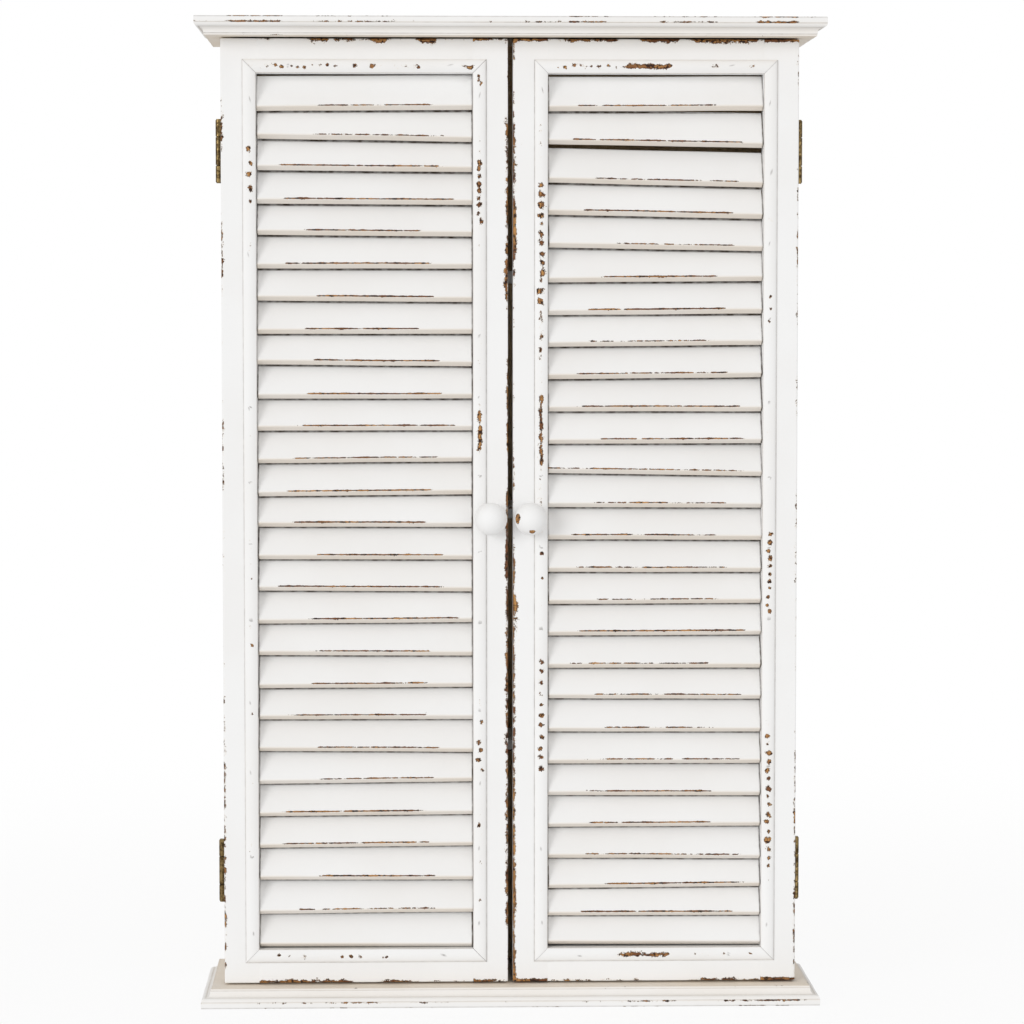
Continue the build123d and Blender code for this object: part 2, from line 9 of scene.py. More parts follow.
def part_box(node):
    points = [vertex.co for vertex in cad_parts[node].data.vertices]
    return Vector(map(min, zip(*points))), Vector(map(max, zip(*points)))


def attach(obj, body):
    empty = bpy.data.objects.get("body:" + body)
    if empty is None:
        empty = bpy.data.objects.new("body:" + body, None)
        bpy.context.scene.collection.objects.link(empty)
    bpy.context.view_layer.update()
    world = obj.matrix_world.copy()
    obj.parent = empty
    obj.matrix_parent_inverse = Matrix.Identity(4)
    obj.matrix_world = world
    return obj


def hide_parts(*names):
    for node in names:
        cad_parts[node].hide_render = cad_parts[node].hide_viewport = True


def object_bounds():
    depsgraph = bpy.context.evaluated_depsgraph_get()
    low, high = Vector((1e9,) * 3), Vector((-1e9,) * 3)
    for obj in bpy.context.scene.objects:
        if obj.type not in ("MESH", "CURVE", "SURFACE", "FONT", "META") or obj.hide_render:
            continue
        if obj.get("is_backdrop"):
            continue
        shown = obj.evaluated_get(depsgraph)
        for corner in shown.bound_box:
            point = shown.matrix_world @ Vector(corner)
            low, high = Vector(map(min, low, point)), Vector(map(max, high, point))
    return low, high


# The looks of a hanging wall cabinet with two louvred doors: chalk-white paint over brown wood,
# rubbed and chipped along the edges. Shapes are worked out in millimetres in the row frame
# (+Z up, front towards -Y) and become metres when a mesh is made.

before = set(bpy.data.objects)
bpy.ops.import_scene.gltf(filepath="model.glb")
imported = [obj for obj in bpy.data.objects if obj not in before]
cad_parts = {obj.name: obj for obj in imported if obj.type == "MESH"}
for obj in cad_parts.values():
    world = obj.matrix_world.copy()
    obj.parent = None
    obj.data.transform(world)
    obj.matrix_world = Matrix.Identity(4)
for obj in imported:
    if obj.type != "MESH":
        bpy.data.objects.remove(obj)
cad_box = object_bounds()

MM = 0.001
SIDES = {"left": -1, "right": 1}
X, Y, Z = 0, 1, 2


def node_box(node):
    """A CAD node's lowest and highest corners, in millimetres."""
    low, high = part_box(node)
    return low / MM, high / MM


# ---------------------------------------------------------------- shapes


class Shell:
    """The surfaces of one piece: points in millimetres, each with a look.

    A look is (wear, thin, grime_and_shade): how far the paint is rubbed away, how thin it is, and how dark it
    is made by dirt and by painted shade.
    """

    def __init__(self):
        self.points = []
        self.looks = []
        self.faces = []

    def add(self, ring):
        """Adds a ring of (point, look) and returns the numbers of its points."""
        first = len(self.points)
        for point, look in ring:
            self.points.append(point)
            self.looks.append(look)
        return list(range(first, len(self.points)))

    def loft(self, rings, closed=True, caps=True):
        """Faces between neighbouring rings, and a face over each end."""
        rows = [self.add(ring) for ring in rings]
        count = len(rows[0])
        last = count if closed else count - 1
        for row, following in zip(rows, rows[1:]):
            for i in range(last):
                j = (i + 1) % count
                self.faces.append((row[i], row[j], following[j], following[i]))
        if caps:
            self.faces.append(tuple(reversed(rows[0])))
            self.faces.append(tuple(rows[-1]))
        return rows


GRAIN_SHIFT = 0.37  # metres between the grain patterns of neighbouring seeds


def finish_piece(shell, name, body, material, nodes, grain=X, seed=0, smooth=35):
    """Makes the shell's mesh, gives it its material and body, and lets it stand for its CAD nodes."""
    mesh = bpy.data.meshes.new(name)
    mesh.from_pydata([p * MM for p in shell.points], [], shell.faces)
    bm = bmesh.new()
    bm.from_mesh(mesh)
    bmesh.ops.recalc_face_normals(bm, faces=bm.faces)
    bm.to_mesh(mesh)
    bm.free()
    mesh.shade_smooth()
    mesh.set_sharp_from_angle(angle=radians(smooth))
    across = [axis for axis in (X, Y, Z) if axis != grain]
    shift = Vector((seed % 7, seed % 11, seed % 13)) * GRAIN_SHIFT
    along_grain = mesh.attributes.new("grain", "FLOAT_VECTOR", "POINT")
    for spot, vertex in zip(along_grain.data, mesh.vertices):
        co = vertex.co
        spot.vector = Vector((co[grain], co[across[0]], co[across[1]])) + shift
    for label, values in zip(("wear", "thin", "grime_and_shade"), zip(*shell.looks)):
        attribute = mesh.attributes.new(label, "FLOAT", "POINT")
        attribute.data.foreach_set("value", values)
    mesh.materials.append(material)
    piece = bpy.data.objects.new(name, mesh)
    bpy.context.scene.collection.objects.link(piece)
    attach(piece, body)
    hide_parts(*nodes)


def spaced(start, end, step):
    """Values from start to end, about a step apart."""
    count = max(1, round(abs(end - start) / step))
    return [start + (end - start) * i / count for i in range(count + 1)]


WEAR_SPACING = 38  # the length of the rubbed stretches, in millimetres
WEAR_SWING = 1.3
PATCH_EASING = 6  # over how many millimetres a patch begins and ends


def worn(position, level, patches, key):
    """How worn an arris is at a distance along its piece: patchy, and more so inside a patch."""
    value = level * (1 + WEAR_SWING * noise.noise(Vector((position / WEAR_SPACING, key, 0.5))))
    for start, end, strength in patches:
        inside = min(position - start, end - position) / PATCH_EASING
        value = max(value, strength * min(1, max(0, inside)))
    return max(0, value)


NEAR_ARRIS = (0.5, 1.4, 2.8, 4.6)  # distances from an arris that get a point of their own
ARC_STEPS = 3
SHARP = 0.02  # the rounding of arrises that lie against another piece


def rounded_section(width, depth, radii, arrises):
    """A rectangle with rounded corners, as (u, v, wear of the arris, distance from it, way out).

    radii and arrises hold the rounding and the wear of the corners at (0, 0), (width, 0),
    (width, depth) and (0, depth).
    """
    corners = [(0, 0), (width, 0), (width, depth), (0, depth)]
    outward = [(-1, -1), (1, -1), (1, 1), (-1, 1)]
    run = [(1, 0), (0, 1), (-1, 0), (0, -1)]
    lengths = [width, depth, width, depth]
    section = []
    for k in range(4):
        centre = [c - o * radii[k] for c, o in zip(corners[k], outward[k])]
        for i in range(ARC_STEPS + 1):
            angle = pi + (k + i / ARC_STEPS) * pi / 2
            u = centre[0] + radii[k] * cos(angle)
            v = centre[1] + radii[k] * sin(angle)
            section.append((u, v, arrises[k], 0.0, outward[k]))
        following = (k + 1) % 4
        room = lengths[k] / 2 - max(radii[k], radii[following])
        near = [d for d in NEAR_ARRIS if d < room]
        spots = [(radii[k] + d, arrises[k], d) for d in near]
        spots += [(lengths[k] - radii[following] - d, arrises[following], d) for d in reversed(near)]
        for at, arris, distance in spots:
            spot = [c + r * at for c, r in zip(corners[k], run[k])]
            section.append((spot[0], spot[1], arris, distance, (0, 0)))
    return section


SANDED = 0.3  # how far full wear takes an arris back
FADE = 0.22  # wear lost per millimetre from an arris


def board(shell, low, high, along, radii, arrises, level=0.25, patches=(), thin=0.0,
          end_radius=0.7, end_wear=(0.5, 0.5), key=0.0, step=5.0):
    """A board between two corners, with rounded and unevenly sanded arrises."""
    u_axis, v_axis = [axis for axis in (X, Y, Z) if axis != along]
    width = high[u_axis] - low[u_axis]
    depth = high[v_axis] - low[v_axis]
    length = high[along] - low[along]
    section = rounded_section(width, depth, radii, arrises)

    def ring(position, inset, end_share):
        spots = []
        for u, v, arris, distance, out in section:
            amount = worn(position, level, patches, key + u * 0.13 + v * 0.37)
            wear = max(0.0, arris * amount - FADE * distance) if arris else 0.0
            if end_share:
                wear = max(wear, worn(u + v, end_share, (), key))
            back = SANDED * wear * wear
            spot = Vector((0, 0, 0))
            spot[along] = low[along] + position
            from_middle = u - out[0] * back - width / 2
            spot[u_axis] = low[u_axis] + from_middle * (1 - 2 * inset / width) + width / 2
            from_middle = v - out[1] * back - depth / 2
            spot[v_axis] = low[v_axis] + from_middle * (1 - 2 * inset / depth) + depth / 2
            spots.append((spot, (wear, thin, 0.0)))
        return spots

    turns = [radians(a) for a in (0, 35, 65, 90)]
    rings = []
    for a in turns:
        rings.append(ring(end_radius * (1 - cos(a)), end_radius * (1 - sin(a)), end_wear[0]))
    inner = spaced(end_radius + 3, length - end_radius - 3, step)
    rings.extend(ring(position, 0, 0) for position in inner)
    for a in reversed(turns):
        rings.append(ring(length - end_radius * (1 - cos(a)), end_radius * (1 - sin(a)), end_wear[1]))
    shell.loft(rings)


def turned(shell, centre, axis, profile, segments, wear_at=None):
    """A turned shape: profile is (distance along the axis, radius), and starts and ends near the axis."""
    u_axis, v_axis = [a for a in (X, Y, Z) if a != axis]
    rings = []
    for distance, radius in profile:
        ring = []
        for i in range(segments):
            angle = 2 * pi * i / segments
            spot = Vector(centre)
            spot[axis] += distance
            spot[u_axis] += radius * cos(angle)
            spot[v_axis] += radius * sin(angle)
            ring.append((spot, (wear_at(spot) if wear_at else 0.0, 0.0, 0.0)))
        rings.append(ring)
    shell.loft(rings)


def arc(centre, radius, start, end, steps):
    """Points of an arc as (x, y), with the angles in degrees."""
    angles = [radians(start + (end - start) * i / steps) for i in range(steps + 1)]
    return [(centre[0] + radius * cos(a), centre[1] + radius * sin(a)) for a in angles]


# ---------------------------------------------------------------- materials


class Graph:
    """Builds a material's node tree in code."""

    def __init__(self, name, slot):
        self.material = bpy.data.materials.new(name)
        self.material.use_nodes = True
        self.tree = self.material.node_tree
        self.tree.nodes.clear()
        self.output = self.tree.nodes.new("ShaderNodeOutputMaterial")
        self.shader = self.tree.nodes.new("ShaderNodeBsdfPrincipled")
        self.tree.links.new(self.shader.outputs[0], self.output.inputs[0])

    def plug(self, socket, value):
        if isinstance(value, bpy.types.NodeSocket):
            self.tree.links.new(value, socket)
        elif isinstance(value, tuple) and socket.type == "RGBA":
            socket.default_value = (*value, 1.0)
        else:
            socket.default_value = value

    def set(self, **inputs):
        for name, value in inputs.items():
            self.plug(self.shader.inputs[name.replace("_", " ")], value)

    def attribute(self, name, output="Fac"):
        node = self.tree.nodes.new("ShaderNodeAttribute")
        node.attribute_name = name
        return node.outputs[output]

    def position(self):
        """The point's place in the row frame, which moves with the piece."""
        return self.tree.nodes.new("ShaderNodeTexCoord").outputs["Object"]

    def math(self, operation, a, b=0.0, c=0.0):
        node = self.tree.nodes.new("ShaderNodeMath")
        node.operation = operation
        for socket, value in zip(node.inputs, (a, b, c)):
            self.plug(socket, value)
        return node.outputs[0]

    def scaled(self, vector, factors):
        node = self.tree.nodes.new("ShaderNodeVectorMath")
        node.operation = "MULTIPLY"
        self.plug(node.inputs[0], vector)
        node.inputs[1].default_value = factors
        return node.outputs[0]

    def noise(self, vector, scale, detail=2.0, roughness=0.5, distortion=0.0):
        node = self.tree.nodes.new("ShaderNodeTexNoise")
        self.plug(node.inputs["Vector"], vector)
        node.inputs["Scale"].default_value = scale
        node.inputs["Detail"].default_value = detail
        node.inputs["Roughness"].default_value = roughness
        node.inputs["Distortion"].default_value = distortion
        return node.outputs["Fac"]

    def steps(self, value, low, high, to_low=0.0, to_high=1.0):
        """A smooth step of a value from one range to another."""
        node = self.tree.nodes.new("ShaderNodeMapRange")
        node.interpolation_type = "SMOOTHSTEP"
        for socket, number in zip(node.inputs, (value, low, high, to_low, to_high)):
            self.plug(socket, number)
        return node.outputs[0]

    def mix(self, factor, a, b):
        node = self.tree.nodes.new("ShaderNodeMix")
        node.data_type = "RGBA"
        self.plug(node.inputs["Factor"], factor)
        colours = [s for s in node.inputs if s.type == "RGBA"]
        self.plug(colours[0], a)
        self.plug(colours[1], b)
        return next(s for s in node.outputs if s.type == "RGBA")

    def bump(self, height, distance, strength=1.0):
        node = self.tree.nodes.new("ShaderNodeBump")
        node.inputs["Strength"].default_value = strength
        node.inputs["Distance"].default_value = distance
        self.plug(node.inputs["Height"], height)
        return node.outputs[0]


# Linear colours
PAINT_BRIGHT = (0.905, 0.903, 0.898)
PAINT_DULL = (0.885, 0.878, 0.868)
PAINT_THIN = (0.74, 0.60, 0.43)
# The colour of dirt, and of painted shade in cracks, creases and gaps
GRIME_AND_SHADE = (0.055, 0.035, 0.02)
WOOD_TAN = (0.58, 0.30, 0.10)
WOOD_BROWN = (0.19, 0.075, 0.03)
WOOD_DARK = (0.035, 0.015, 0.008)
RAW_LIGHT = (0.60, 0.44, 0.27)
RAW_DARK = (0.43, 0.28, 0.15)


def wood_colour(g, vector, light, dark, ring_scale):
    """Wood with streaks along its grain, and the streaks' value for roughness and bump."""
    stretched = g.scaled(vector, (0.045, 1.0, 1.0))
    streaks = g.noise(stretched, ring_scale, 4.0, 0.6, 0.3)
    pores = g.noise(g.scaled(vector, (0.03, 1.0, 1.0)), 1500.0, 2.0)
    value = g.math("ADD", g.math("MULTIPLY", streaks, 0.7), g.math("MULTIPLY", pores, 0.3))
    shade = g.steps(value, 0.36, 0.64)
    return g.mix(shade, dark, light), value


def painted_wood(name):
    """Chalk paint over brown wood, gone where the wear and a noise together pass a threshold."""
    g = Graph(name, "white_paint")
    grain = g.attribute("grain", "Vector")
    wear = g.attribute("wear")
    thin = g.attribute("thin")
    grime_and_shade = g.attribute("grime_and_shade")
    # Where the paint is gone
    coarse = g.noise(g.scaled(grain, (0.8, 1.0, 1.0)), 230.0, 3.0, 0.6)
    fine = g.noise(grain, 1100.0, 2.0, 0.6)
    coarse = g.math("MULTIPLY", g.math("SUBTRACT", coarse, 0.5), 1.7)
    fine = g.math("MULTIPLY", g.math("SUBTRACT", fine, 0.5), 0.8)
    field = g.math("ADD", wear, g.math("ADD", coarse, fine))
    chip = g.steps(field, 0.60, 0.65)
    rim = g.math("MULTIPLY", g.steps(field, 0.42, 0.62), g.steps(wear, 0.0, 0.2))
    # The wood that shows: tan where it was sanded, brown or dark where paint flaked off
    shade = g.noise(grain, 30.0, 2.0)
    speck = g.noise(grain, 420.0, 2.0)
    streak, streak_value = wood_colour(g, grain, WOOD_TAN, WOOD_BROWN, 700.0)
    flaked = g.mix(g.steps(shade, 0.48, 0.60), streak, WOOD_BROWN)
    flaked = g.mix(g.steps(speck, 0.50, 0.60), flaked, WOOD_DARK)
    bare = g.mix(g.steps(field, 0.63, 0.86), WOOD_DARK, flaked)
    # The paint, a little dull in clouds and beige where it is thin
    brush = g.noise(g.scaled(grain, (0.03, 1.0, 1.0)), 900.0, 3.0, 0.6)
    cloud = g.noise(grain, 9.0, 3.0, 0.55)
    paint = g.mix(g.steps(cloud, 0.35, 0.68), PAINT_BRIGHT, PAINT_DULL)
    patchy = g.math("MULTIPLY", thin, g.steps(cloud, 0.25, 0.65, 0.7, 1.05))
    beige = g.math("MAXIMUM", patchy, g.math("MULTIPLY", rim, 0.35))
    paint = g.mix(beige, paint, PAINT_THIN)
    # Dirt, and painted shade in cracks, creases and gaps, darken the paint
    dirt_and_shade = g.math("MULTIPLY", grime_and_shade, g.steps(g.noise(grain, 160.0, 3.0), 0.3, 0.7, 0.7, 1.25))
    paint = g.mix(dirt_and_shade, paint, GRIME_AND_SHADE)
    g.set(
        Base_Color=g.mix(chip, paint, bare),
        Roughness=g.math("ADD", g.math("MULTIPLY", chip, 0.15), g.math("MULTIPLY_ADD", brush, 0.14, 0.56)),
        Specular_IOR_Level=0.3,
    )
    # Relief: the paint's thickness, brush strokes, and the grain of the bare wood
    height = g.math("MULTIPLY_ADD", chip, -0.8, g.math("MULTIPLY", brush, 0.08))
    height = g.math("ADD", height, g.math("MULTIPLY", g.math("MULTIPLY", streak_value, chip), 0.3))
    g.set(Normal=g.bump(height, 0.00025, 0.8))
    return g.material


def bare_wood(name, slot, light, dark, in_cad, ring_scale):
    """Unfinished wood. The grain runs along the grain attribute's first axis, or along X in a CAD node."""
    g = Graph(name, slot)
    vector = g.position() if in_cad else g.attribute("grain", "Vector")
    colour, value = wood_colour(g, vector, light, dark, ring_scale)
    blotch = g.noise(g.scaled(vector, (0.4, 1.0, 1.0)), 14.0, 3.0)
    darker = tuple(c * 0.8 for c in dark)
    g.set(
        Base_Color=g.mix(g.steps(blotch, 0.52, 0.8, 0.0, 0.4), colour, darker),
        Roughness=g.math("MULTIPLY_ADD", value, 0.2, 0.6),
        Specular_IOR_Level=0.25,
        Normal=g.bump(value, 0.00012, 0.7),
    )
    return g.material


def metal(name, slot, bright, dull, scale, rough_low, rough_high):
    """Metal with dull patches and fine scratches."""
    g = Graph(name, slot)
    place = g.position()
    patch = g.noise(place, scale, 4.0, 0.65)
    scratch = g.noise(g.scaled(place, (1.0, 1.0, 0.12)), scale * 9, 2.0)
    both = g.math("ADD", g.math("MULTIPLY", patch, 0.75), g.math("MULTIPLY", scratch, 0.25))
    g.set(
        Base_Color=g.mix(g.steps(both, 0.40, 0.60), dull, bright),
        Metallic=1.0,
        Roughness=g.steps(both, 0.35, 0.65, rough_high, rough_low),
        Normal=g.bump(both, 0.00003, 0.6),
    )
    return g.material


def moulded_plastic(name, slot, colour, worn_colour):
    """A smooth moulded material with a fine texture."""
    g = Graph(name, slot)
    place = g.position()
    texture = g.noise(place, 1800.0, 2.0)
    cloud = g.noise(place, 60.0, 3.0)
    g.set(
        Base_Color=g.mix(g.steps(cloud, 0.4, 0.7), colour, worn_colour),
        Roughness=g.math("MULTIPLY_ADD", texture, 0.2, 0.35),
        Normal=g.bump(texture, 0.00002, 0.5),
    )
    return g.material


CHALK = painted_wood("chalk_paint")
RAW_RAIL = bare_wood("raw_wood_rail", "raw_wood", RAW_LIGHT, RAW_DARK, True, 320.0)
DOWEL_WOOD = bare_wood("dowel_wood", "raw_wood", (0.66, 0.50, 0.32), (0.5, 0.36, 0.2), True, 500.0)
PLYWOOD = bare_wood("plywood_face", "plywood", (0.64, 0.49, 0.31), (0.52, 0.37, 0.21), False, 90.0)
BRASS = metal("aged_brass_metal", "aged_brass", (0.33, 0.235, 0.10), (0.07, 0.045, 0.02), 260.0, 0.18, 0.4)
ZINC = metal("zinc_metal", "zinc_steel", (0.62, 0.63, 0.64), (0.42, 0.43, 0.43), 300.0, 0.28, 0.48)
PLASTIC = moulded_plastic("catch_plastic", "white_plastic", (0.80, 0.80, 0.78), (0.74, 0.73, 0.69))
MAGNET = moulded_plastic("magnet_ceramic", "ferrite", (0.05, 0.05, 0.055), (0.09, 0.085, 0.085))

# ---------------------------------------------------------------- cornice and base board

FILLET, OVOLO, STEP, COVE, COVE_STRAIGHT = 5.0, 3.3, 0.35, 3.5, 1.4
BOARD_THICK = 15.0
# Painted shade: a dark strip under the cornice, which is seen through the gap over the doors
SHADE_STRIP_START, SHADE_STRIP_END = 26.6, 41.0
FACE_DEPTH = 42.0  # how far in from the edge the moulded strip of the mesh reaches
UNEVEN = 0.2  # how far the mouldings' arrises wander inwards


def moulding_profile(shadow):
    """The moulding from the wide face to the narrow face, as (inset, height, (wear, thin, grime_and_shade)).

    shadow is how dark the painted shade lines are in the steps between the moulding's parts; the arrises next
    to the wide and the narrow face are darkened a little as well.
    """
    quirk = FILLET + OVOLO
    cove_inset = OVOLO + STEP
    cove_top = quirk + COVE
    small = cove_inset + COVE
    foot = small + STEP
    ledge = cove_top + COVE_STRAIGHT
    profile = [(FACE_DEPTH, 0, (0, 0.1, 0)), (3.5, 0, (0, 0.05, 0)), (1.4, 0, (0.3, 0.05, 0))]
    profile += [(0.5, 0.1, (0.8, 0.1, 0)), (0.1, 0.5, (0.9, 0.1, 0.3)), (0, 1.2, (0.3, 0.05, 0.02))]
    profile += [(0, 2.6, (0.2, 0.05, 0)), (0, 3.8, (0.6, 0.08, 0)), (0, FILLET - 0.6, (1, 0.1, 0))]
    profile += [(0.05, FILLET - 0.1, (1, 0.3, shadow * 0.4)), (0.25, FILLET + 0.2, (0.8, 0.3, shadow))]
    for inset, height in arc((OVOLO, FILLET), OVOLO, 168, 102, 5):
        profile.append((inset, height, (0.1, 0.12, 0)))
    profile += [(OVOLO - 0.3, quirk - 0.03, (0.2, 0.3, shadow * 0.5)), (OVOLO, quirk, (0.2, 0.35, shadow))]
    profile += [(cove_inset, quirk + 0.02, (0.2, 0.3, shadow))]
    for inset, height in arc((cove_inset, cove_top), COVE, 284, 356, 6):
        profile.append((inset, height, (0.05, 0.2, 0)))
    profile += [(small, ledge - 0.4, (0.1, 0.12, 0)), (small, ledge, (0.2, 0.3, shadow))]
    profile += [(foot - 0.03, ledge + 0.15, (0.4, 0.3, shadow)), (foot, ledge + 0.6, (0.2, 0.2, 0))]
    profile += [(foot, BOARD_THICK - 0.4, (0.4, 0.3, 0)), (foot + 0.4, BOARD_THICK, (0.5, 0.6, 0.1))]
    profile += [(foot + 2, BOARD_THICK, (0.1, 0.6, 0)), (SHADE_STRIP_START - 0.6, BOARD_THICK, (0, 0.65, 0))]
    profile += [(SHADE_STRIP_START, BOARD_THICK, (0, 0.65, 1)), (SHADE_STRIP_END, BOARD_THICK, (0, 0.65, 1))]
    profile += [(FACE_DEPTH, BOARD_THICK, (0, 0.65, 0))]
    return profile


def moulded_board(node, wide_on_top, level, patches, shadow, key):
    """A board with a moulding round its front and ends. Patches run from its left rear corner."""
    low, high = node_box(node)
    half, depth = high[X], -low[Y]
    shell = Shell()
    corners = [(-half, 0.0), (-half, -depth), (half, -depth), (half, 0.0)]
    inward = [(1, 0), (1, 1), (-1, 1), (-1, 0)]  # which way an inset moves each corner
    sideways = [(1, 0), (0, 1), (-1, 0)]  # which way sanding moves the surface on each leg
    rings = []
    travelled = 0.0
    for leg in range(3):
        start, end = corners[leg], corners[leg + 1]
        length = abs(end[0] - start[0]) + abs(end[1] - start[1])
        stations = spaced(0, length, 4.0)
        for station in stations if leg == 0 else stations[1:]:
            share = station / length
            at = travelled + station
            at_corner = station in (0, length)
            ring = []
            for inset, height, (edge, thin, grime_and_shade) in moulding_profile(shadow):
                a = [c + i * inset for c, i in zip(start, inward[leg])]
                b = [c + i * inset for c, i in zip(end, inward[leg + 1])]
                wear = edge * worn(at, level, patches, key + height * 0.21)
                # The painted shade strip lies only along the front of the cornice's underside
                if inset in (SHADE_STRIP_START, SHADE_STRIP_END) and (leg != 1 or at_corner or not wide_on_top):
                    grime_and_shade = 0.0
                sway = 0.5 + noise.noise(Vector((at / 22, height / 4, key)))
                back = 0 if at_corner or not edge else SANDED * wear * wear + UNEVEN * max(0, sway)
                rise = -height if wide_on_top else height
                wide = high[Z] if wide_on_top else low[Z]
                x = a[0] + (b[0] - a[0]) * share + back * sideways[leg][0]
                y = a[1] + (b[1] - a[1]) * share + back * sideways[leg][1]
                ring.append((Vector((x, y, wide + rise)), (wear, thin, grime_and_shade)))
            rings.append(ring)
        travelled += length
    rows = shell.loft(rings, closed=False, caps=False)
    shell.faces.append(tuple(row[0] for row in rows))
    shell.faces.append(tuple(row[-1] for row in reversed(rows)))
    shell.faces.append(tuple(rows[0]) + tuple(reversed(rows[-1])))
    finish_piece(shell, node + "_board", "case", CHALK, [node], X, seed=round(key * 10))


# ---------------------------------------------------------------- case


PANEL_RADIUS = 0.8
REBATE_RADIUS = 0.3
SHELF_RADII = (1.5, 0.5, 0.5, 1.5)
PLYWOOD_RADIUS = 0.2


def case_boards():
    """Side panels, shelves and back panel."""
    rail_low = node_box("hanging_rail")[0]
    back_low, back_high = node_box("back_panel")
    for name, side in SIDES.items():
        low, high = node_box(f"{name}_side_panel")
        shell = Shell()
        rebate_width = abs(abs(back_high[X]) - min(abs(low[X]), abs(high[X])))
        # The panel in two layers: the outer one full depth, the inner one short of the back panel
        outer_low, outer_high = low.copy(), high.copy()
        inner_low, inner_high = low.copy(), high.copy()
        step = side * (min(abs(low[X]), abs(high[X])) + rebate_width)
        if side > 0:
            outer_low[X], inner_high[X] = step, step
        else:
            outer_high[X], inner_low[X] = step, step
        fronts = (1, 0.6, 0.6, 1)
        soft, slight = PANEL_RADIUS, REBATE_RADIUS
        outer_radii = (soft, SHARP, SHARP, soft) if side < 0 else (SHARP, soft, soft, SHARP)
        inner_radii = (SHARP, soft, slight, SHARP) if side < 0 else (soft, SHARP, SHARP, slight)
        board(shell, outer_low, outer_high, Z, outer_radii, fronts, 0.3, key=3 + side, end_radius=SHARP)
        inner_high[Y] = back_low[Y]
        board(shell, inner_low, inner_high, Z, inner_radii, fronts, 0.3, key=5 + side, end_radius=SHARP)
        # Above the back panel the inner layer is full depth too, beside the hanging rail
        beside_low, beside_high = inner_low.copy(), inner_high.copy()
        beside_low[Y], beside_high[Y] = back_low[Y], 0.0
        beside_low[Z] = rail_low[Z]
        board(shell, beside_low, beside_high, Z, (SHARP,) * 4, (0,) * 4, 0.0, end_radius=SHARP)
        finish_piece(shell, f"{name}_side_board", "case", CHALK, [f"{name}_side_panel"], Z, 17 + side)

    for number, node in enumerate(("lower_shelf", "middle_shelf", "upper_shelf")):
        low, high = node_box(node)
        shell = Shell()
        board(shell, low, high, X, SHELF_RADII, (1, 0.2, 0.2, 1), 0.55, thin=0.12, key=9.0 + number)
        finish_piece(shell, f"{node}_board", "case", CHALK, [node], X, 31 + number)

    shell = Shell()
    board(shell, back_low, back_high, Z, (PLYWOOD_RADIUS,) * 4, (0,) * 4, 0.0,
          end_radius=PLYWOOD_RADIUS, step=40)
    finish_piece(shell, "back_board", "case", PLYWOOD, ["back_panel"], Z, 41)


# ---------------------------------------------------------------- doors

FRAME_RADIUS = 0.8

BEAD_WIDTH, BEAD_CREST, BEAD_LIP = 11.0, 2.5, 0.8
MITRE_GAP = 0.1

SLAT_COUNT = 27
SLAT_PITCH = 25.87
SLAT_THICK, SLAT_WIDTH = 8.0, 28.5
SLAT_TILT = 28.5
SLAT_BOTTOM_GAP = 0.5
SLAT_ROUNDING, SLAT_BACK_ROUNDING = 1.2, 3.5
SLAT_SHIFT = {"left": 3.4, "right": -7.0}
EASING_IN, EASING_OUT = 3, 2  # slats over which the shift grows and goes back

# Slats that lie unevenly, counted from the bottom: (lift in mm, slope in degrees, turn in degrees)
ODD_SLATS = {
    ("right", 25): (1.2, -0.95, -1.0),
    ("right", 24): (-0.3, -1.25, 0.5),
    ("right", 23): (0.2, -1.15, 0.3),
    ("right", 22): (0.1, -1.0, 0.0),
    ("right", 15): (0.8, -0.9, 2.0),
    ("left", 25): (0.4, -0.8, 0.0),
}

# Where the top and bottom arrises of the rails are worn: (from, to, strength) in mm from the left jamb
RAIL_PATCHES = {
    ("left", "top"): ((3, 16, 0.8), (38, 62, 0.95), (58, 84, 0.85), (86, 110, 1.05), (126, 148, 1.2)),
    ("right", "top"): ((8, 60, 0.85), (70, 108, 1.0), (112, 172, 1.1)),
    ("left", "bottom"): ((-10, 78, 0.9), (92, 132, 0.75)),
    ("right", "bottom"): ((10, 40, 0.6), (110, 160, 0.7)),
}

# Where paint is rubbed off a bead's crest: (from, to, strength) in mm from its lower or left end
BEAD_PATCHES = {
    ("left", "meeting_side"): ((398, 438, 0.95),),
    ("right", "top"): ((58, 102, 1.2), (122, 142, 0.75)),
    ("right", "bottom"): ((52, 102, 1.0),),
    ("right", "meeting_side"): ((384, 452, 0.9), (470, 520, 0.6)),
}

# Rows of chips on a bead's crest: (from, to, spacing, size), all in mm
BEAD_CHIPS = {
    ("left", "top"): ((10, 62, 5.5, 1.7), (78, 92, 12, 2.0), (128, 130, 9, 1.6), (168, 172, 3, 2.0)),
    ("left", "bottom"): ((16, 24, 6, 1.8), (66, 82, 8, 1.6), (100, 102, 9, 1.5)),
    ("left", "hinge_side"): ((601, 642, 11, 2.4), (80, 300, 60, 1.2)),
    ("left", "meeting_side"): (
        (586, 632, 6, 2.4), (146, 184, 7, 2.0), (40, 100, 24, 1.5), (694, 700, 3, 1.8),
    ),
    ("right", "top"): ((7, 54, 6.5, 1.5), (160, 164, 9, 1.5)),
    ("right", "bottom"): ((120, 165, 20, 1.4),),
    ("right", "hinge_side"): ((272, 334, 6, 2.2), (66, 172, 7, 2.3), (505, 525, 9, 1.8)),
    ("right", "meeting_side"): ((522, 614, 8, 2.8), (146, 232, 9, 2.1), (300, 380, 22, 1.4)),
}
CHIP_WEAR, CHIP_FADE = 1.15, 0.6
NAIL_SPACING, NAIL_SIZE, NAIL_GRIME = 62.0, 0.9, 0.5

# How dark the painted shade in the open mitre is at the lower or left end of a strip and at its other end
MITRE_CRACK_SHADES = {
    ("left", "top"): (0.8, 1.0),
    ("left", "bottom"): (0.2, 1.0),
    ("right", "top"): (0.25, 0.4),
    ("right", "bottom"): (0.3, 0.6),
}
CRACK = 0.3

# How dark the painted shade line is along a bead's outer edge, where it meets the frame
GROOVE_SHADE = {"top": 0.08, "bottom": 0.3, "hinge_side": 0.3, "meeting_side": 0.42}


